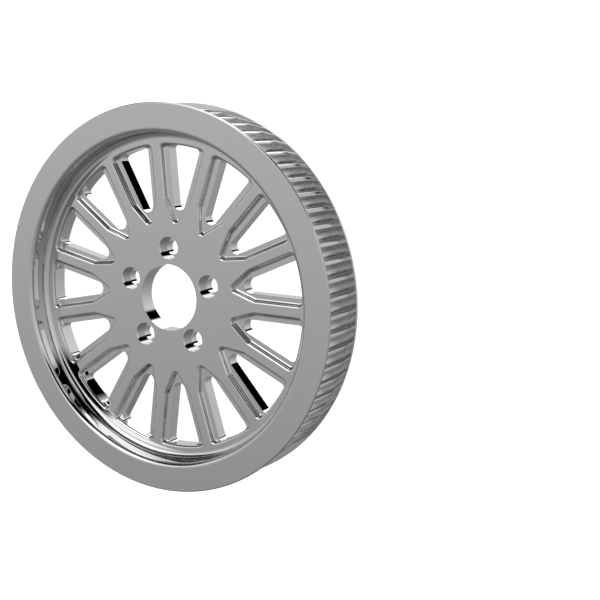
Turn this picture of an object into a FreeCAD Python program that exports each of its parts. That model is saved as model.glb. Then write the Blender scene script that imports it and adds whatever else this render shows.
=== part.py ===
import FreeCAD, Part
import math
import os

from FreeCAD import Placement, Rotation, Vector

# Belt pulley turned and milled from one disc: a toothed rim between two flanges,
# a dished web with stepped windows between its spokes, and a bolted hub.
# The axis is Z, the rear of the rim lies on Z = 0 and the dish opens towards +Z.
# The first bolt hole and the middle of one tooth gap lie on +Y. Sizes are in mm.

# Toothed rim
tooth_count = 70
belt_pitch = 14.0
pitch_line_offset = 1.397
groove_depth = 5.4
groove_round = 4.9
tooth_tip_round = 1.5
belt_face_width = 42.2
front_flange_thickness = 1.4
rear_flange_thickness = 2.2
flange_height = 4.175
flange_lean_deg = 4.0
flange_edge_round = 0.6

# Rim section inside the teeth, measured inwards from the flange's edge
front_rim_section = 23.8
dish_lip_round = 4.0
dish_foot_round = 5.0
rear_rim_section = 20.85
rear_foot_round = 4.0
rear_edge_round = 1.0

# Web and hub
dish_depth = 18.05
web_thickness = 14.05
bore_diameter = 55.45
bore_wall = 3.78
bolt_count = 5
bolt_hole_diameter = 11.8
counterbore_diameter = 18.9
counterbore_depth = 6.6

# Windows: a pocket in the front of the web, and a narrower opening through its floor
window_count = 15
window_lead_deg = 6.0
spoke_face_width = 8.43
window_tip_angle_deg = 60.0
hub_margin = 11.83
outer_margin = 3.97
window_edge_round = 1.0
pocket_depth = 5.4
pocket_floor_round = 2.58
pocket_tip_ease = 0.1
pocket_corner_ease = 0.6
pocket_kink_ease = 0.9
side_ledge = 5.28
tip_ledge = 9.33
opening_corner_round = 3.47

# How far a cutting tool stands clear of the face it leaves
tool_overrun = 2.0

# Worked-out places
axis = Vector(0, 0, 1)
land_radius = tooth_count * belt_pitch / (2 * math.pi) - pitch_line_offset
flange_radius = land_radius + flange_height
lean_slope = math.tan(math.radians(flange_lean_deg))
belt_face_rear = rear_flange_thickness + flange_height * lean_slope
belt_face_front = belt_face_rear + belt_face_width
rim_width = belt_face_front + flange_height * lean_slope + front_flange_thickness
channel_floor = land_radius - groove_depth - tool_overrun
dish_radius = flange_radius - front_rim_section
recess_radius = flange_radius - rear_rim_section
web_front = rim_width - dish_depth
web_back = web_front - web_thickness
bore_radius = bore_diameter / 2
counterbore_radius = counterbore_diameter / 2
bolt_circle_radius = bore_radius + bore_wall + counterbore_radius
pocket_floor = web_front - pocket_depth
pocket_tip_x = bolt_circle_radius + counterbore_radius + hub_margin + window_edge_round
window_end_radius = dish_radius - dish_foot_round - outer_margin - window_edge_round
half_pitch = math.pi / window_count
pocket_side_offset = spoke_face_width / 2 + window_edge_round
opening_side_offset = pocket_side_offset + side_ledge


def turned(point, degrees):
    """A point swung about the pulley's axis."""
    return Rotation(axis, degrees).multVec(point)


def copies_round(shape, count, first_degrees):
    """Copies of a shape, evenly spaced about the pulley's axis."""
    copies = []
    for index in range(count):
        turn = Rotation(axis, first_degrees + index * 360 / count)
        copies.append(shape.transformed(Placement(Vector(), turn).toMatrix(), True))
    return copies


def rounded_wire(corners):
    """A closed wire through (point, radius) corners, each corner rounded by a tangent arc."""
    arcs = []
    for index, (point, radius) in enumerate(corners):
        to_last = (corners[index - 1][0] - point).normalize()
        to_next = (corners[(index + 1) % len(corners)][0] - point).normalize()
        half_angle = to_last.getAngle(to_next) / 2
        reach = radius / math.tan(half_angle)
        inwards = (to_last + to_next).normalize() * (radius / math.sin(half_angle) - radius)
        arcs.append((point + to_last * reach, point + inwards, point + to_next * reach))
    edges = []
    for index, (start, middle, end) in enumerate(arcs):
        edges.append(Part.LineSegment(arcs[index - 1][2], start).toShape())
        if corners[index][1] > 0:
            edges.append(Part.Arc(start, middle, end).toShape())
    return Part.Wire(edges)


def blank():
    """The turned disc, with a plain channel between its flanges and no windows or holes yet."""
    foot_round = min(rear_foot_round, web_back / 2)
    edge_round = min(rear_edge_round, web_back / 4)
    section = rounded_wire([
        (Vector(flange_radius, 0, 0), flange_edge_round),
        (Vector(flange_radius, 0, rear_flange_thickness), flange_edge_round),
        (Vector(land_radius, 0, belt_face_rear), 0),
        (Vector(channel_floor, 0, belt_face_rear), 0),
        (Vector(channel_floor, 0, belt_face_front), 0),
        (Vector(land_radius, 0, belt_face_front), 0),
        (Vector(flange_radius, 0, rim_width - front_flange_thickness), flange_edge_round),
        (Vector(flange_radius, 0, rim_width), flange_edge_round),
        (Vector(dish_radius, 0, rim_width), dish_lip_round),
        (Vector(dish_radius, 0, web_front), dish_foot_round),
        (Vector(bore_radius, 0, web_front), 0),
        (Vector(bore_radius, 0, web_back), 0),
        (Vector(recess_radius, 0, web_back), foot_round),
        (Vector(recess_radius, 0, 0), edge_round),
    ])
    return Part.Face(section).revolve(Vector(), axis, 360)


def tooth_outline():
    """The closed outline of lands and round-bottomed grooves, with rounded tips between them."""
    tip_radius = land_radius - tooth_tip_round
    groove_x = land_radius - groove_depth + groove_round
    reach = groove_round + tooth_tip_round
    tip_x = (tip_radius ** 2 - reach ** 2 + groove_x ** 2) / (2 * groove_x)
    tip_centre = Vector(tip_x, math.sqrt(tip_radius ** 2 - tip_x ** 2), 0)
    groove_centre = Vector(groove_x, 0, 0)
    to_groove = (groove_centre - tip_centre).normalize()
    outwards = Vector(tip_centre).normalize()
    land_end = outwards * land_radius
    tip_middle = tip_centre + (outwards + to_groove).normalize() * tooth_tip_round
    tip_foot = tip_centre + to_groove * tooth_tip_round
    groove_bottom = Vector(groove_x - groove_round, 0, 0)
    pitch_deg = 360 / tooth_count
    land_middle = turned(Vector(land_radius, 0, 0), pitch_deg / 2)
    next_land_end = turned(Vector(land_end.x, -land_end.y, 0), pitch_deg)

    edges = []
    for index in range(tooth_count):
        angle = 90 + index * pitch_deg
        run = [land_end, tip_middle, tip_foot]
        left = [turned(point, angle) for point in run]
        right = [turned(Vector(point.x, -point.y, 0), angle) for point in run]
        edges.append(Part.Arc(right[0], right[1], right[2]).toShape())
        edges.append(Part.Arc(right[2], turned(groove_bottom, angle), left[2]).toShape())
        edges.append(Part.Arc(left[2], left[1], left[0]).toShape())
        edges.append(Part.Arc(left[0], turned(land_middle, angle), turned(next_land_end, angle)).toShape())
    return Part.Wire(edges)


def toothed_ring():
    """The teeth that fill the channel between the flanges."""
    ring = Part.Face(tooth_outline()).extrude(axis * belt_face_width)
    ring = ring.cut(Part.makeCylinder(channel_floor - tool_overrun, belt_face_width))
    ring.translate(axis * belt_face_rear)
    return ring


def upright_edges(solid, x, y):
    """The edges of an upright prism that stand at one corner and at its mirror image."""
    def at_corner(vertex):
        return math.hypot(vertex.X - x, abs(vertex.Y) - abs(y)) < 0.001
    return [edge for edge in solid.Edges if all(at_corner(vertex) for vertex in edge.Vertexes)]


def window_prism(corners, bottom, top):
    """An upright prism over half an outline about +X, mirrored, and ended by the windows' outer arc."""
    points = corners + [Vector(corner.x, -corner.y, 0) for corner in reversed(corners) if corner.y > 0]
    prism = Part.Face(Part.makePolygon(points + points[:1])).extrude(axis * (top - bottom))
    prism = prism.common(Part.makeCylinder(window_end_radius, top - bottom))
    prism.translate(axis * bottom)
    return prism


def side_point(offset, x):
    """Where a line beside a spoke, at this offset from the spoke's middle, passes x."""
    return Vector(x, x * math.tan(half_pitch) - offset / math.cos(half_pitch), 0)


def outer_corner(offset):
    """Where a line beside a spoke meets the windows' outer arc."""
    along = math.sqrt(window_end_radius ** 2 - offset ** 2)
    x = along * math.cos(half_pitch) + offset * math.sin(half_pitch)
    return side_point(offset, x)


def window_pocket():
    """The pocket about +X: a pointed inner end, sides along the spokes and a rounded floor."""
    tip_half_angle = math.radians(window_tip_angle_deg / 2)
    tip_round = pocket_floor_round + pocket_tip_ease
    apex_x = pocket_tip_x + tip_round - tip_round / math.sin(tip_half_angle)
    side_drop = pocket_side_offset / math.cos(half_pitch)
    rise = math.tan(tip_half_angle)
    kink_x = (apex_x * rise - side_drop) / (rise - math.tan(half_pitch))
    kink = side_point(pocket_side_offset, kink_x)
    far = side_point(pocket_side_offset, window_end_radius + tool_overrun)
    end = outer_corner(pocket_side_offset)

    pocket = window_prism([Vector(apex_x, 0, 0), kink, far], pocket_floor, web_front + tool_overrun)
    pocket = pocket.makeFillet(tip_round, upright_edges(pocket, apex_x, 0))
    kink_round = pocket_floor_round + pocket_kink_ease
    pocket = pocket.makeFillet(kink_round, upright_edges(pocket, kink.x, kink.y))
    corner_round = pocket_floor_round + pocket_corner_ease
    pocket = pocket.makeFillet(corner_round, upright_edges(pocket, end.x, end.y))
    floor_edges = [edge for edge in pocket.Edges if edge.BoundBox.ZMax < pocket_floor + 0.001]
    return pocket.makeFillet(pocket_floor_round, floor_edges)


def window_opening():
    """The opening through the pocket's floor about +X, with a round inner end."""
    apex_x = opening_side_offset / math.sin(half_pitch)
    tip_x = pocket_tip_x + tip_ledge
    tip_round = (tip_x - apex_x) / (1 / math.sin(half_pitch) - 1)
    far = side_point(opening_side_offset, window_end_radius + tool_overrun)
    end = outer_corner(opening_side_offset)

    opening = window_prism([Vector(apex_x, 0, 0), far], web_back - tool_overrun, web_front + tool_overrun)
    opening = opening.makeFillet(tip_round, upright_edges(opening, apex_x, 0))
    return opening.makeFillet(opening_corner_round, upright_edges(opening, end.x, end.y))


def bolt_hole():
    """The first bolt hole, with its counterbore in the front of the hub."""
    hole = Part.makeCylinder(bolt_hole_diameter / 2, web_thickness + 2 * tool_overrun)
    hole.translate(Vector(0, bolt_circle_radius, web_back - tool_overrun))
    counterbore = Part.makeCylinder(counterbore_radius, counterbore_depth + tool_overrun)
    counterbore.translate(Vector(0, bolt_circle_radius, web_front - counterbore_depth))
    return hole.fuse(counterbore)


def is_window_edge(edge):
    """True for the edges where a window's pocket breaks the front of the web."""
    box = edge.BoundBox
    middle = math.hypot(edge.CenterOfMass.x, edge.CenterOfMass.y)
    flat = abs(box.ZMin - web_front) < 0.001 and box.ZLength < 0.001
    return flat and middle > bolt_circle_radius + counterbore_radius


def pulley():
    """The finished pulley."""
    body = blank().fuse(toothed_ring()).removeSplitter()
    window = window_pocket().fuse(window_opening()).removeSplitter()
    body = body.cut(copies_round(window, window_count, 90 - window_lead_deg))
    body = body.cut(copies_round(bolt_hole(), bolt_count, 0)).removeSplitter()
    body = body.makeFillet(window_edge_round, [edge for edge in body.Edges if is_window_edge(edge)])
    return body.Solids[0]


os.makedirs("parts", exist_ok=True)
pulley().exportStep("parts/belt_pulley.step")
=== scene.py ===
import itertools
import math

import bpy
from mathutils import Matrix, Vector
from mathutils.geometry import tessellate_polygon


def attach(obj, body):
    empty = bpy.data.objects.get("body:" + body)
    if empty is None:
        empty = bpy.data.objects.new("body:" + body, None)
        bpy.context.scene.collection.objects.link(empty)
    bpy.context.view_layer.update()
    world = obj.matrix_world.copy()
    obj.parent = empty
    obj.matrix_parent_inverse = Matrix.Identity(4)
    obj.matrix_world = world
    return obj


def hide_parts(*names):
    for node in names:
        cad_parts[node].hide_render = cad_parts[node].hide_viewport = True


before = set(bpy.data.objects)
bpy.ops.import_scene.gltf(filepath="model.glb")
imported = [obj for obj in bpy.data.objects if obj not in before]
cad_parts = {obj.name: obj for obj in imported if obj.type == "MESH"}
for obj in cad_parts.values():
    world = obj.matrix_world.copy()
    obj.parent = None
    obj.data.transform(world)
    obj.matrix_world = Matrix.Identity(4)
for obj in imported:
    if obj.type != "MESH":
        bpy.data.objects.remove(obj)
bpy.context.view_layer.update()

# Sizes of the pulley in mm. The axis is Z and the rear of the rim lies on Z = 0. They are those of the part's
# source, apart from the rounds of the front flange's edge and the depth, edges and rounds of the windows.

# Toothed rim. A flange's edge has one round on its outer side and one on the belt's side.
TOOTH_COUNT = 70
BELT_PITCH = 14.0
PITCH_LINE_OFFSET = 1.397
GROOVE_DEPTH = 5.4
GROOVE_RADIUS = 4.9
TIP_ROUND = 1.5
BELT_FACE_WIDTH = 42.2
FRONT_THICKNESS = 1.4
REAR_THICKNESS = 2.2
FLANGE_HEIGHT = 4.175
FLANGE_LEAN_DEG = 4.0
FRONT_EDGE_ROUNDS = (1.1, 0.25)
REAR_EDGE_ROUNDS = (0.6, 0.6)

# Rim section inside the teeth, measured inwards from the flange's edge.
FRONT_RIM_SECTION = 23.8
DISH_LIP_ROUND = 4.0
DISH_FOOT_ROUND = 5.0
REAR_RIM_SECTION = 20.85
RECESS_FOOT_ROUND = 4.0
RECESS_EDGE_ROUND = 1.0

# Web and hub. The first bolt hole and the middle of one tooth groove lie on +Y.
FIRST_BEARING_DEG = 90.0
DISH_DEPTH = 18.05
WEB_THICKNESS = 14.05
BORE_RADIUS = 27.725
BORE_WALL = 3.78
BOLT_COUNT = 5
BOLT_HOLE_RADIUS = 5.9
COUNTERBORE_RADIUS = 9.45
COUNTERBORE_DEPTH = 6.6

# Windows: a pocket in the front of the web, and a narrower opening through its floor.
WINDOW_COUNT = 15
WINDOW_LEAD_DEG = 6.0
SPOKE_FACE_WIDTH = 6.23
HUB_MARGIN = 10.73
OUTER_MARGIN = 2.87
WINDOW_EDGE_ROUND = 2.1
POCKET_DEPTH = 4.1
POCKET_FLOOR_ROUND = 1.95
POCKET_TIP_HALF_DEG = 30.0
POCKET_TIP_ROUND = 2.68
POCKET_KINK_ROUND = 3.48
POCKET_CORNER_ROUND = 3.18
SIDE_LEDGE = 5.28
TIP_LEDGE = 9.33
OPENING_CORNER_ROUND = 3.47
OPENING_EDGE_ROUND = 0.2

# Worked-out places.
LAND_RADIUS = TOOTH_COUNT * BELT_PITCH / (2 * math.pi) - PITCH_LINE_OFFSET
FLANGE_RADIUS = LAND_RADIUS + FLANGE_HEIGHT
FLANGE_ROOT = FLANGE_HEIGHT * math.tan(math.radians(FLANGE_LEAN_DEG))
BELT_FACE_REAR = REAR_THICKNESS + FLANGE_ROOT
BELT_FACE_FRONT = BELT_FACE_REAR + BELT_FACE_WIDTH
RIM_WIDTH = BELT_FACE_FRONT + FLANGE_ROOT + FRONT_THICKNESS
DISH_RADIUS = FLANGE_RADIUS - FRONT_RIM_SECTION
RECESS_RADIUS = FLANGE_RADIUS - REAR_RIM_SECTION
WEB_FRONT = RIM_WIDTH - DISH_DEPTH
WEB_BACK = WEB_FRONT - WEB_THICKNESS
BOLT_CIRCLE_RADIUS = BORE_RADIUS + BORE_WALL + COUNTERBORE_RADIUS
POCKET_FLOOR = WEB_FRONT - POCKET_DEPTH
POCKET_WALL_FOOT = POCKET_FLOOR + POCKET_FLOOR_ROUND
POCKET_TIP_X = BOLT_CIRCLE_RADIUS + COUNTERBORE_RADIUS + HUB_MARGIN + WINDOW_EDGE_ROUND
POCKET_SIDE_OFFSET = SPOKE_FACE_WIDTH / 2 + WINDOW_EDGE_ROUND
OPENING_TIP_X = POCKET_TIP_X + TIP_LEDGE
OPENING_SIDE_OFFSET = POCKET_SIDE_OFFSET + SIDE_LEDGE
WINDOW_END_RADIUS = DISH_RADIUS - DISH_FOOT_ROUND - OUTER_MARGIN - WINDOW_EDGE_ROUND
HALF_PITCH_DEG = 180.0 / WINDOW_COUNT
SIDE_NORMAL_DEG = 90.0 + HALF_PITCH_DEG

# How finely the curved surfaces are divided.
RIM_STEPS = 480
BORE_STEPS = 160
BOLT_STEPS = 64
GROOVE_STEPS = 14
TIP_STEPS = 8
LAND_STEPS = 3
MOUTH_STEPS = 8
FLANGE_OUTER_STEPS = 10
FLANGE_INNER_STEPS = 6
DISH_STEPS = 14
RECESS_EDGE_STEPS = 8
RECESS_FOOT_STEPS = 10
WINDOW_EDGE_STEPS = 8
WINDOW_END_STEPS = 10
POCKET_FLOOR_STEPS = 10
POCKET_CORNER_STEPS = 12
POCKET_KINK_STEPS = 5
POCKET_TIP_STEPS = 9
LEDGE_STEPS = 6
OPENING_CORNER_STEPS = 6
OPENING_TIP_STEPS = 14
OPENING_EDGE_STEPS = 3
WELD_CELLS_PER_MM = 500
NEARBY = sorted(itertools.product((0, -1, 1), repeat=3), key=lambda step: sum(map(abs, step)))

# Camera: standing over the part's +X side, looking down on its face. Its place is in metres.
CAMERA_PLACE = (0.501126, 0.149454, 0.714891)
CAMERA_TURN_DEG = (-8.417, 31.266, 0.693)
CAMERA_LENS_MM = 62.67
CAMERA_SENSOR_MM = 36.0
CAMERA_SHIFT = (0.0702, -0.0401)

# Studio: the surroundings are set out by bearing round the part's axis and by tilt down from it, in degrees.
# The room is lighter towards one bearing. Levels are as the chrome shows them.
CHROME_REFLECTANCE = 0.62
BACKDROP_LEVEL = 1.0
ROOM_MEAN = 0.42
ROOM_SWING = 0.39
ROOM_LIGHT_BEARING = 87.0
ROOM_LEAST = 0.13
ALL_ROUND = (-190.0, -185.0, 185.0, 190.0)

# Panels: the limits of the soft edges in bearing, then in tilt, and the level. Lamps and the card are light,
# and the rest are dark. Each is laid over those before it.
HORIZON = (ALL_ROUND, (58.0, 98.0, 104.0, 138.0), 0.12)
LOW_LAMP = ((80.0, 89.0, 124.0, 139.0), (86.0, 100.0, 147.5, 150.5), 1.75)
HIGH_LAMP = ((86.0, 98.0, 112.0, 176.0), (8.0, 32.0, 58.0, 74.0), 1.4)
LAMP_GAP = ((80.0, 90.0, 146.0, 156.0), (56.0, 74.0, 86.0, 106.0), 0.02)
GAP_END = ((116.0, 138.0, 146.0, 156.0), (46.0, 60.0, 66.0, 76.0), 0.02)
HIGH_FLAG = ((30.0, 45.0, 82.0, 98.0), (10.0, 28.0, 80.0, 110.0), 0.0)
LOW_FLAG = ((38.0, 51.0, 76.0, 87.0), (80.0, 110.0, 146.0, 149.5), 0.0)
SIDE_CARD = ((20.0, 28.0, 58.0, 67.0), (50.0, 75.0, 82.0, 106.0), 0.55)
PANELS = (HORIZON, LOW_LAMP, HIGH_LAMP, LAMP_GAP, GAP_END, HIGH_FLAG, LOW_FLAG, SIDE_CARD)

# Finish: a mirror polish, and satin in the belt channel. Grain heights are in metres.
POLISH_ROUGHNESS = 0.02
POLISH_GRAIN_PER_M = 60.0
POLISH_GRAIN_HEIGHT = 0.000004
SATIN_ROUGHNESS = 0.28
SATIN_GRAIN_PER_M = 1500.0
SATIN_GRAIN_HEIGHT = 0.000008
GRAIN_DETAIL = 3.0
ROUGHNESS_SPREAD = 0.4

# Floor: pale and softly lit, so that it stays light under the web. Its size is in metres.
FLOOR_HALF_SIZE = 6.0
FLOOR_COLOUR = (0.90, 0.90, 0.90, 1.0)
FLOOR_GLOW = 0.95

MM_PER_M = 1000.0
UP = Vector((0.0, 0.0, 1.0))
DOWN = Vector((0.0, 0.0, -1.0))
POLISHED, SATIN = 0, 1
MIX_SHARE, MIX_LOW, MIX_HIGH = 0, 2, 3


def cos_sin(degrees):
    angle = math.radians(degrees)
    return math.cos(angle), math.sin(angle)


def polar(radius, degrees):
    cos, sin = cos_sin(degrees)
    return Vector((radius * cos, radius * sin, 0.0))


def bearing_of(point):
    return math.degrees(math.atan2(point.y, point.x))


def lifted(point, z):
    return Vector((point.x, point.y, z))


def turned(point, degrees):
    cos, sin = cos_sin(degrees)
    return Vector((point.x * cos - point.y * sin, point.x * sin + point.y * cos, point.z))


def turned_run(run, degrees):
    return [(turned(place, degrees), turned(normal, degrees)) for place, normal in run]


def mirrored(run):
    """The run on the other side of the X axis, in the reverse order."""
    return [(Vector((p.x, -p.y, p.z)), Vector((n.x, -n.y, n.z))) for p, n in reversed(run)]


def whole(run):
    """Both halves of a run that ends on the X axis."""
    return run + mirrored(run)[1:]


def places(run):
    return [place for place, _ in run]


def spread(start, end, steps):
    return [start + (end - start) * index / steps for index in range(steps + 1)]


class Skin:
    """A closed mesh, gathered patch by patch with the true surface normal at every corner."""

    def __init__(self):
        self.points = []
        self.places = {}
        self.faces = []
        self.normals = []
        self.finishes = []

    def point(self, place):
        """Number of the point at this place, shared by all patches that meet there."""
        cell = [round(value * WELD_CELLS_PER_MM) for value in place]
        for dx, dy, dz in NEARBY:
            number = self.places.get((cell[0] + dx, cell[1] + dy, cell[2] + dz))
            if number is not None:
                return number
        self.places[tuple(cell)] = len(self.points)
        self.points.append(place)
        return len(self.points) - 1

    def face(self, corners, finish):
        """Adds a face through (place, normal) corners, turned to face the way its normals do."""
        ring = []
        for place, normal in corners:
            number = self.point(place)
            if all(number != other for other, _, _ in ring):
                ring.append((number, place, normal))
        if len(ring) < 3:
            return
        across = (ring[1][1] - ring[0][1]).cross(ring[2][1] - ring[0][1])
        if len(ring) == 4:
            across = (ring[2][1] - ring[0][1]).cross(ring[3][1] - ring[1][1])
        if across.dot(sum((normal for _, _, normal in ring), Vector())) < 0:
            ring.reverse()
        self.faces.append([number for number, _, _ in ring])
        self.normals.extend(normal for _, _, normal in ring)
        self.finishes.append(finish)

    def rows(self, rows, closed, finish=POLISHED):
        """Joins neighbouring rows of (place, normal) corners, each row closed on itself or open."""
        for low, high in zip(rows, rows[1:]):
            count = len(low)
            for index in range(count if closed else count - 1):
                after = (index + 1) % count
                self.face([low[index], low[after], high[after], high[index]], finish)

    def plate(self, loops, normal):
        """A flat polished face inside its first loop and outside the others."""
        flat = [[lifted(place, 0.0) for place in loop] for loop in loops]
        corners = [place for loop in loops for place in loop]
        for triangle in tessellate_polygon(flat):
            self.face([(corners[index], normal) for index in triangle], POLISHED)

    def build(self, name, materials):
        mesh = bpy.data.meshes.new(name)
        mesh.from_pydata([place / MM_PER_M for place in self.points], [], self.faces)
        for material in materials:
            mesh.materials.append(material)
        mesh.polygons.foreach_set("material_index", self.finishes)
        mesh.polygons.foreach_set("use_smooth", [True] * len(self.faces))
        mesh.normals_split_custom_set(self.normals)
        mesh.update()
        made = bpy.data.objects.new(name, mesh)
        bpy.context.collection.objects.link(made)
        return made


def evenly(steps):
    """Bearings of evenly spaced points, the first half a step from +X."""
    return [360.0 * (index + 0.5) / steps for index in range(steps)]


def circle(radius, z, bearings, centre=Vector()):
    return [lifted(centre + polar(radius, bearing), z) for bearing in bearings]


def ring_row(radius, z, slope_deg, bearings, centre=Vector()):
    """A ring of corners whose normal points slope degrees up from outwards."""
    cos, sin = cos_sin(slope_deg)
    normals = [lifted(polar(cos, bearing), sin) for bearing in bearings]
    return list(zip(circle(radius, z, bearings, centre), normals))


def round_rows(radius, z, size, first_deg, last_deg, divisions, bearings, hollow=False):
    """Rings over a rounded corner about the circle of this radius and height, between two slopes."""
    rows = []
    for slope in spread(first_deg, last_deg, divisions):
        cos, sin = cos_sin(slope)
        facing = slope + 180.0 if hollow else slope
        rows.append(ring_row(radius + size * cos, z + size * sin, facing, bearings))
    return rows


def round_hole(skin, radius, low, high, bearings, centre=Vector()):
    """The wall of a round hole between two heights."""
    rows = []
    for z in (low, high):
        rows.append([(place, -normal) for place, normal in ring_row(radius, z, 0.0, bearings, centre)])
    skin.rows(rows, True)


def groove_half():
    """Half of one pitch as (place, normal) corners, from the middle of a groove about +X to the mouth of the
    groove, and from there to the middle of a land, with the bearing of the mouth and those along the land."""
    tip_radius = LAND_RADIUS - TIP_ROUND
    centre_x = LAND_RADIUS - GROOVE_DEPTH + GROOVE_RADIUS
    reach = GROOVE_RADIUS + TIP_ROUND
    tip_x = (tip_radius ** 2 - reach ** 2 + centre_x ** 2) / (2 * centre_x)
    tip_y = math.sqrt(tip_radius ** 2 - tip_x ** 2)
    flank_deg = math.degrees(math.atan2(tip_y, tip_x - centre_x))
    mouth_deg = math.degrees(math.atan2(tip_y, tip_x))
    groove = []
    for angle in spread(180.0, flank_deg, GROOVE_STEPS):
        groove.append((Vector((centre_x, 0.0, 0.0)) + polar(GROOVE_RADIUS, angle), polar(-1.0, angle)))
    for angle in spread(flank_deg - 180.0, mouth_deg, TIP_STEPS)[1:]:
        groove.append((Vector((tip_x, tip_y, 0.0)) + polar(TIP_ROUND, angle), polar(1.0, angle)))
    land_angles = spread(mouth_deg, 180.0 / TOOTH_COUNT, LAND_STEPS)[1:]
    land = [(polar(LAND_RADIUS, angle), polar(1.0, angle)) for angle in land_angles]
    return groove, land, mouth_deg, land_angles


def groove_outline():
    """Tooth outline as (place, normal) corners, the two sides and the arc of each groove's mouth, and the
    bearings round the flanges."""
    groove, land, mouth_deg, land_angles = groove_half()
    half = groove + land
    pitch = mirrored(half)[1:-1] + half
    mouth = spread(-mouth_deg, mouth_deg, MOUTH_STEPS)
    mouth_arc = [polar(LAND_RADIUS, angle) for angle in mouth]
    stops = [-angle for angle in reversed(land_angles[:-1])] + mouth + land_angles
    outline, mouths, bearings = [], [], []
    for tooth in range(TOOTH_COUNT):
        turn = FIRST_BEARING_DEG + tooth * 360.0 / TOOTH_COUNT
        outline += turned_run(pitch, turn)
        left = [turned(place, turn) for place, _ in groove]
        right = [turned(place, turn) for place, _ in reversed(mirrored(groove))]
        mouths.append((left, right, [turned(place, turn) for place in mouth_arc]))
        bearings += [turn + angle for angle in stops]
    return outline, mouths, bearings


def groove_ends(skin, z, facing, mouths):
    """Flat ends of the grooves against a flange."""
    for left, right, mouth in mouths:
        rows = [[(lifted(place, z), facing) for place in pair] for pair in zip(left, right)]
        skin.rows(rows, False, SATIN)
        skin.face([(lifted(place, z), facing) for place in mouth], SATIN)


def flange(skin, edge_z, root_z, up, rounds, bearings):
    """One flange: a leaning inner face, which faces up or down, and an edge that is rounded on both sides."""
    outer, inner = rounds
    lean = math.radians(FLANGE_LEAN_DEG)
    slope = up * (90.0 - FLANGE_LEAN_DEG)
    reach = inner * math.tan((math.pi / 2 - lean) / 2)
    top_radius = FLANGE_RADIUS - reach * math.cos(lean)
    top_z = root_z - up * FLANGE_ROOT + up * reach * math.sin(lean)
    foot_row = ring_row(LAND_RADIUS, root_z, slope, bearings)
    top_row = ring_row(top_radius, top_z, slope, bearings)
    skin.rows([foot_row, top_row], True)
    inner_z = top_z - up * inner * math.cos(lean)
    rows = round_rows(FLANGE_RADIUS - inner, inner_z, inner, slope, 0.0, FLANGE_INNER_STEPS, bearings)
    outer_z = edge_z + up * outer
    rows += round_rows(FLANGE_RADIUS - outer, outer_z, outer, 0.0, -up * 90.0, FLANGE_OUTER_STEPS, bearings)
    skin.rows(rows, True)


def add_dish(skin, bearings):
    """Front face of the rim, and the wall of the dish with its lip and foot."""
    even = evenly(RIM_STEPS)
    face_radius = FLANGE_RADIUS - FRONT_EDGE_ROUNDS[0]
    lip_radius = DISH_RADIUS + DISH_LIP_ROUND
    lip_z = RIM_WIDTH - DISH_LIP_ROUND
    foot_radius = DISH_RADIUS - DISH_FOOT_ROUND
    foot_z = WEB_FRONT + DISH_FOOT_ROUND
    skin.plate([circle(face_radius, RIM_WIDTH, bearings), circle(lip_radius, RIM_WIDTH, even)], UP)
    rows = round_rows(lip_radius, lip_z, DISH_LIP_ROUND, 90.0, 180.0, DISH_STEPS, even)
    rows += round_rows(foot_radius, foot_z, DISH_FOOT_ROUND, 0.0, -90.0, DISH_STEPS, even, True)
    skin.rows(rows, True)


def add_recess(skin, bearings):
    """Rear face of the rim, and the wall of the recess with its edge and foot."""
    even = evenly(RIM_STEPS)
    edge = RECESS_EDGE_ROUND
    face_radius = FLANGE_RADIUS - REAR_EDGE_ROUNDS[0]
    lip_radius = RECESS_RADIUS + edge
    foot_radius = RECESS_RADIUS - RECESS_FOOT_ROUND
    foot_z = WEB_BACK - RECESS_FOOT_ROUND
    skin.plate([circle(face_radius, 0.0, bearings), circle(lip_radius, 0.0, even)], DOWN)
    rows = round_rows(lip_radius, edge, edge, -90.0, -180.0, RECESS_EDGE_STEPS, even)
    rows += round_rows(foot_radius, foot_z, RECESS_FOOT_ROUND, 0.0, 90.0, RECESS_FOOT_STEPS, even, True)
    skin.rows(rows, True)


def add_rim(skin):
    """Teeth, flanges, dish wall and rear recess."""
    outline, mouths, bearings = groove_outline()
    ends = (BELT_FACE_REAR, BELT_FACE_FRONT)
    skin.rows([[(lifted(place, z), normal) for place, normal in outline] for z in ends], True, SATIN)
    groove_ends(skin, BELT_FACE_REAR, UP, mouths)
    flange(skin, 0.0, BELT_FACE_REAR, UP.z, REAR_EDGE_ROUNDS, bearings)
    groove_ends(skin, BELT_FACE_FRONT, DOWN, mouths)
    flange(skin, RIM_WIDTH, BELT_FACE_FRONT, DOWN.z, FRONT_EDGE_ROUNDS, bearings)
    add_dish(skin, bearings)
    add_recess(skin, bearings)


def meet(first, first_deg, second, second_deg):
    """Where two lines, each through a point and at an angle, cross."""
    a, b = polar(1.0, first_deg), polar(1.0, second_deg)
    gap = second - first
    along = (gap.x * b.y - gap.y * b.x) / (a.x * b.y - a.y * b.x)
    return first + a * along


def side_start(offset):
    """A point on the line beside a spoke, at this offset from the spoke's middle."""
    return Vector((0.0, -offset / math.cos(math.radians(HALF_PITCH_DEG)), 0.0))


def corner_centre(offset, size):
    """Centre of the round between a window's side and its outer arc."""
    start = side_start(offset + size)
    along = polar(1.0, HALF_PITCH_DEG)
    back = start.dot(along)
    reach = -back + math.sqrt(back ** 2 - start.length_squared + (WINDOW_END_RADIUS - size) ** 2)
    return start + along * reach


def arc(centre, size, first_deg, last_deg, divisions):
    """(place, outward normal) corners over an arc."""
    angles = spread(first_deg, last_deg, divisions)
    return [(centre + polar(size, angle), polar(1.0, angle)) for angle in angles]


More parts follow.
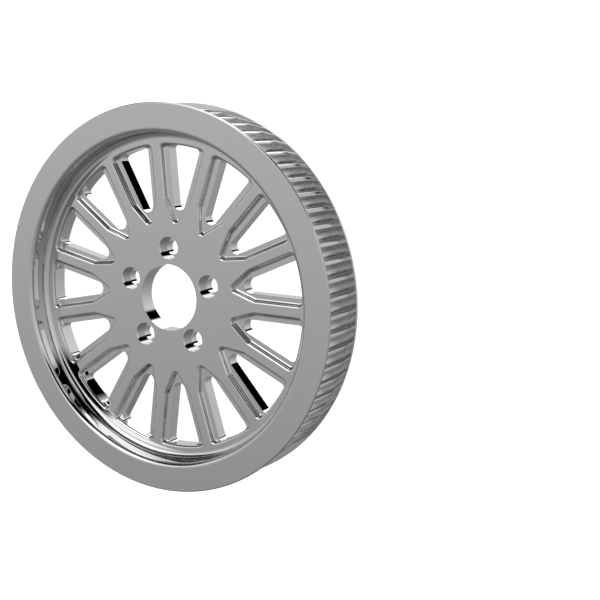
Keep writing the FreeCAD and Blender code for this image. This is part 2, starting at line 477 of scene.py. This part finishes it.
def pocket_arcs(inset):
    """Arcs of half the pocket's outline, moved inwards by inset, from the outer end to the tip."""
    tip = Vector((POCKET_TIP_X + POCKET_TIP_ROUND, 0.0, 0.0))
    tip_normal = 90.0 + POCKET_TIP_HALF_DEG
    flank = tip + polar(POCKET_TIP_ROUND - POCKET_KINK_ROUND, tip_normal)
    side = side_start(POCKET_SIDE_OFFSET + POCKET_KINK_ROUND)
    kink = meet(flank, POCKET_TIP_HALF_DEG, side, HALF_PITCH_DEG)
    corner = corner_centre(POCKET_SIDE_OFFSET, POCKET_CORNER_ROUND)
    end_deg = bearing_of(corner)
    run = arc(corner, POCKET_CORNER_ROUND - inset, end_deg, SIDE_NORMAL_DEG, POCKET_CORNER_STEPS)
    run += arc(kink, POCKET_KINK_ROUND - inset, SIDE_NORMAL_DEG, tip_normal, POCKET_KINK_STEPS)
    run += arc(tip, POCKET_TIP_ROUND - inset, tip_normal, 180.0, POCKET_TIP_STEPS)
    return run


def opening_end_deg(inset):
    """Bearing at which the opening's outline crosses the outer arc moved inwards by inset."""
    corner = corner_centre(OPENING_SIDE_OFFSET, OPENING_CORNER_ROUND)
    far, near = WINDOW_END_RADIUS - inset, corner.length
    share = (far ** 2 + near ** 2 - OPENING_CORNER_ROUND ** 2) / (2 * far * near)
    return bearing_of(corner) + math.degrees(math.acos(min(1.0, share)))


def pocket_row(inset):
    """Half of one line round the pocket, open at the outer end where the opening breaks in."""
    arcs = pocket_arcs(inset)
    last = bearing_of(arcs[0][0])
    ledge = arc(Vector(), WINDOW_END_RADIUS - inset, opening_end_deg(inset), last, LEDGE_STEPS)
    return ledge[:-1] + arcs


def end_arc():
    """The outer arc between the places where the opening's corners leave it, without its ends."""
    last = opening_end_deg(0.0)
    return arc(Vector(), WINDOW_END_RADIUS, -last, last, WINDOW_END_STEPS)[1:-1]


def opening_side():
    """Half of the opening's outline below the pocket's rounded floor, from its outer corner to its tip."""
    corner = corner_centre(OPENING_SIDE_OFFSET, OPENING_CORNER_ROUND)
    cross = polar(WINDOW_END_RADIUS - POCKET_FLOOR_ROUND, opening_end_deg(POCKET_FLOOR_ROUND))
    first = bearing_of(cross - corner)
    run = arc(corner, OPENING_CORNER_ROUND, first, SIDE_NORMAL_DEG, OPENING_CORNER_STEPS)
    narrowing = math.sin(math.radians(HALF_PITCH_DEG))
    apex_x = OPENING_SIDE_OFFSET / narrowing
    size = (OPENING_TIP_X - apex_x) / (1 / narrowing - 1)
    tip = Vector((OPENING_TIP_X + size, 0.0, 0.0))
    run += arc(tip, size, SIDE_NORMAL_DEG, 180.0, OPENING_TIP_STEPS)
    return run


def pocket_wall_rows():
    """Rows over the round at the web's face and down the pocket's wall."""
    outline = whole(pocket_row(0.0)) + end_arc()
    size = WINDOW_EDGE_ROUND
    rows = []
    for slope in spread(0.0, 90.0, WINDOW_EDGE_STEPS):
        cos, sin = cos_sin(slope)
        z = WEB_FRONT - size + size * cos
        rows.append([(lifted(p + n * size * (1 - sin), z), UP * cos - n * sin) for p, n in outline])
    rows.append([(lifted(p, POCKET_WALL_FOOT), -n) for p, n in outline])
    return rows


def pocket_floor_rows():
    """Rows over the round between the pocket's wall and its floor."""
    rows = []
    for slope in spread(90.0, 0.0, POCKET_FLOOR_STEPS):
        cos, sin = cos_sin(slope)
        z = POCKET_FLOOR + POCKET_FLOOR_ROUND * (1 - cos)
        outline = whole(pocket_row(POCKET_FLOOR_ROUND * (1 - sin)))
        rows.append([(lifted(p, z), UP * cos - n * sin) for p, n in outline])
    return rows


def opening_edge_rows():
    """Half rows over the small round between the pocket's floor and the opening, which dies out at the outer
    corners."""
    outline = opening_side()
    rows = []
    for slope in spread(0.0, 90.0, OPENING_EDGE_STEPS):
        cos, sin = cos_sin(slope)
        row = []
        for index, (place, normal) in enumerate(outline):
            size = OPENING_EDGE_ROUND * min(1.0, index / OPENING_CORNER_STEPS)
            place = lifted(place + normal * size * (1 - sin), POCKET_FLOOR - size * (1 - cos))
            row.append((place, UP * cos - normal * sin))
        rows.append(row)
    return rows


def opening_wall_rows(floor_rows, edge_rows):
    """Rows at the top and the foot of the opening's wall, whose top climbs the pocket's rounded floor to the
    outer arc."""
    corner = corner_centre(OPENING_SIDE_OFFSET, OPENING_CORNER_ROUND)
    climb = [row[0][0] for row in floor_rows[:-1]]
    half = [(place, (corner - lifted(place, 0.0)).normalized()) for place in climb] + edge_rows[-1]
    top = whole(half) + [(lifted(p, POCKET_WALL_FOOT), -n) for p, n in end_arc()]
    foot = [(lifted(place, WEB_BACK), normal) for place, normal in top]
    return [top, foot]


def window_patches():
    """The window about +X: its sets of rows, each closed or open, and the loops round its floor, at the web's
    front and at its back."""
    wall_rows = pocket_wall_rows()
    floor_rows = pocket_floor_rows()
    edge_rows = opening_edge_rows()
    opening_rows = opening_wall_rows(floor_rows, edge_rows)
    whole_edge_rows = [whole(row) for row in edge_rows]
    patches = ((wall_rows, True), (floor_rows, False), (whole_edge_rows, False), (opening_rows, True))
    floor_loop = places(floor_rows[-1]) + places(reversed(whole_edge_rows[0][1:-1]))
    return patches, (floor_loop, places(wall_rows[0]), places(opening_rows[-1]))


def add_windows(skin, front, back):
    """The windows, whose outlines join the loops of the web's front and back."""
    patches, loops = window_patches()
    for index in range(WINDOW_COUNT):
        turn = FIRST_BEARING_DEG - WINDOW_LEAD_DEG + index * 360.0 / WINDOW_COUNT
        for rows, is_closed in patches:
            skin.rows([turned_run(row, turn) for row in rows], is_closed)
        floor_loop, front_loop, back_loop = [[turned(place, turn) for place in loop] for loop in loops]
        skin.plate([floor_loop], UP)
        front.append(front_loop)
        back.append(back_loop)


def add_bolt_holes(skin, front, back):
    """The counterbored holes, whose outlines join the loops of the web's front and back."""
    bearings = evenly(BOLT_STEPS)
    seat_z = WEB_FRONT - COUNTERBORE_DEPTH
    for index in range(BOLT_COUNT):
        centre = polar(BOLT_CIRCLE_RADIUS, FIRST_BEARING_DEG + index * 360.0 / BOLT_COUNT)
        round_hole(skin, COUNTERBORE_RADIUS, seat_z, WEB_FRONT, bearings, centre)
        round_hole(skin, BOLT_HOLE_RADIUS, WEB_BACK, seat_z, bearings, centre)
        radii = (COUNTERBORE_RADIUS, BOLT_HOLE_RADIUS)
        skin.plate([circle(radius, seat_z, bearings, centre) for radius in radii], UP)
        front.append(circle(COUNTERBORE_RADIUS, WEB_FRONT, bearings, centre))
        back.append(circle(BOLT_HOLE_RADIUS, WEB_BACK, bearings, centre))


def add_bore(skin, front, back):
    """The bore, whose outlines join the loops of the web's front and back."""
    bearings = evenly(BORE_STEPS)
    round_hole(skin, BORE_RADIUS, WEB_BACK, WEB_FRONT, bearings)
    front.append(circle(BORE_RADIUS, WEB_FRONT, bearings))
    back.append(circle(BORE_RADIUS, WEB_BACK, bearings))


def add_web(skin):
    """Windows, bolt holes, bore and the two faces of the web."""
    front = [circle(DISH_RADIUS - DISH_FOOT_ROUND, WEB_FRONT, evenly(RIM_STEPS))]
    back = [circle(RECESS_RADIUS - RECESS_FOOT_ROUND, WEB_BACK, evenly(RIM_STEPS))]
    add_windows(skin, front, back)
    add_bolt_holes(skin, front, back)
    add_bore(skin, front, back)
    skin.plate(front, UP)
    skin.plate(back, DOWN)


def grey(level):
    return (level, level, level, 1.0)


class Graph:
    """Shader nodes of one tree, made and joined in one call each."""

    def __init__(self, tree):
        self.tree = tree
        tree.nodes.clear()

    def node(self, kind, **settings):
        made = self.tree.nodes.new(kind)
        for name, value in settings.items():
            setattr(made, name, value)
        return made

    def join(self, source, socket):
        """Links a socket to another one, or sets it to a plain value."""
        if isinstance(source, bpy.types.NodeSocket):
            self.tree.links.new(source, socket)
        else:
            socket.default_value = source

    def math(self, operation, *values):
        made = self.node("ShaderNodeMath", operation=operation)
        for socket, value in zip(made.inputs, values):
            self.join(value, socket)
        return made.outputs[0]

    def step(self, value, low, high):
        """0 below low and 1 above high, eased between them."""
        made = self.node("ShaderNodeMapRange", interpolation_type="SMOOTHSTEP")
        self.join(value, made.inputs["Value"])
        made.inputs["From Min"].default_value = low
        made.inputs["From Max"].default_value = high
        return made.outputs["Result"]

    def band(self, value, limits):
        """1 between the middle two limits, falling to 0 at the outer two."""
        rise = self.step(value, limits[0], limits[1])
        fall = self.step(value, limits[2], limits[3])
        return self.math("SUBTRACT", rise, fall)

    def blend(self, share, low, high):
        made = self.node("ShaderNodeMix", data_type="FLOAT")
        self.join(share, made.inputs[MIX_SHARE])
        self.join(low, made.inputs[MIX_LOW])
        self.join(high, made.inputs[MIX_HIGH])
        return made.outputs[0]


def make_world():
    """The studio that the chrome mirrors, in front of a white backdrop."""
    world = bpy.data.worlds.new("studio")
    world.use_nodes = True
    graph = Graph(world.node_tree)
    direction = graph.node("ShaderNodeTexCoord").outputs["Generated"]
    parts = graph.node("ShaderNodeSeparateXYZ")
    graph.join(direction, parts.inputs[0])
    x, y, z = parts.outputs
    bearing = graph.math("DEGREES", graph.math("ARCTAN2", y, x))
    tilt = graph.math("DEGREES", graph.math("ARCCOSINE", z))

    toward = polar(ROOM_SWING, ROOM_LIGHT_BEARING)
    across = graph.math("MULTIPLY", x, toward.x)
    along = graph.math("MULTIPLY", y, toward.y)
    room = graph.math("ADD", graph.math("ADD", across, along), ROOM_MEAN)

    level = graph.math("MAXIMUM", room, ROOM_LEAST)
    for bearings, tilts, panel_level in PANELS:
        share = graph.math("MULTIPLY", graph.band(bearing, bearings), graph.band(tilt, tilts))
        level = graph.blend(share, level, panel_level)
    level = graph.math("DIVIDE", level, CHROME_REFLECTANCE)

    seen = graph.node("ShaderNodeLightPath").outputs["Is Camera Ray"]
    level = graph.blend(seen, level, BACKDROP_LEVEL)
    background = graph.node("ShaderNodeBackground")
    graph.join(level, background.inputs["Color"])
    output = graph.node("ShaderNodeOutputWorld")
    graph.join(background.outputs[0], output.inputs["Surface"])
    bpy.context.scene.world = world


def make_chrome(name, roughness, grain_per_m, grain_height):
    """Chrome plate whose roughness and surface vary a little with a fine grain."""
    material = bpy.data.materials.new(name)
    material.use_nodes = True
    graph = Graph(material.node_tree)
    place = graph.node("ShaderNodeTexCoord").outputs["Object"]
    grain = graph.node("ShaderNodeTexNoise")
    grain.inputs["Scale"].default_value = grain_per_m
    grain.inputs["Detail"].default_value = GRAIN_DETAIL
    graph.join(place, grain.inputs["Vector"])
    varied = graph.node("ShaderNodeMapRange")
    graph.join(grain.outputs["Fac"], varied.inputs["Value"])
    varied.inputs["To Min"].default_value = roughness * (1.0 - ROUGHNESS_SPREAD)
    varied.inputs["To Max"].default_value = roughness * (1.0 + ROUGHNESS_SPREAD)
    bump = graph.node("ShaderNodeBump")
    bump.inputs["Distance"].default_value = grain_height
    graph.join(grain.outputs["Fac"], bump.inputs["Height"])
    shader = graph.node("ShaderNodeBsdfPrincipled")
    shader.inputs["Base Color"].default_value = grey(CHROME_REFLECTANCE)
    shader.inputs["Metallic"].default_value = 1.0
    graph.join(varied.outputs["Result"], shader.inputs["Roughness"])
    graph.join(bump.outputs["Normal"], shader.inputs["Normal"])
    output = graph.node("ShaderNodeOutputMaterial")
    graph.join(shader.outputs[0], output.inputs["Surface"])
    return material


def make_floor_material():
    material = bpy.data.materials.new("floor_white")
    material.use_nodes = True
    graph = Graph(material.node_tree)
    shader = graph.node("ShaderNodeBsdfPrincipled")
    shader.inputs["Base Color"].default_value = FLOOR_COLOUR
    shader.inputs["Roughness"].default_value = 1.0
    shader.inputs["Emission Color"].default_value = FLOOR_COLOUR
    shader.inputs["Emission Strength"].default_value = FLOOR_GLOW
    output = graph.node("ShaderNodeOutputMaterial")
    graph.join(shader.outputs[0], output.inputs["Surface"])
    return material


def make_floor():
    """A flat floor, which the chrome doesn't mirror."""
    mesh = bpy.data.meshes.new("floor")
    size = FLOOR_HALF_SIZE
    corners = [(-size, -size, 0.0), (size, -size, 0.0), (size, size, 0.0), (-size, size, 0.0)]
    mesh.from_pydata(corners, [], [(0, 1, 2, 3)])
    mesh.materials.append(make_floor_material())
    floor = bpy.data.objects.new("floor", mesh)
    bpy.context.collection.objects.link(floor)
    floor.visible_glossy = False


def make_camera():
    data = bpy.data.cameras.new("camera")
    data.sensor_width = CAMERA_SENSOR_MM
    data.lens = CAMERA_LENS_MM
    data.shift_x, data.shift_y = CAMERA_SHIFT
    camera = bpy.data.objects.new("camera", data)
    camera.location = CAMERA_PLACE
    camera.rotation_euler = [math.radians(angle) for angle in CAMERA_TURN_DEG]
    bpy.context.collection.objects.link(camera)
    bpy.context.scene.camera = camera


def make_pulley():
    skin = Skin()
    add_rim(skin)
    add_web(skin)
    polished = make_chrome("chrome_polished", POLISH_ROUGHNESS, POLISH_GRAIN_PER_M, POLISH_GRAIN_HEIGHT)
    satin = make_chrome("chrome_satin", SATIN_ROUGHNESS, SATIN_GRAIN_PER_M, SATIN_GRAIN_HEIGHT)
    piece = skin.build("pulley", [polished, satin])
    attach(piece, "root")
    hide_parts("belt_pulley")


make_world()
make_floor()
make_camera()
make_pulley()
bpy.context.scene.view_settings.view_transform = "Standard"
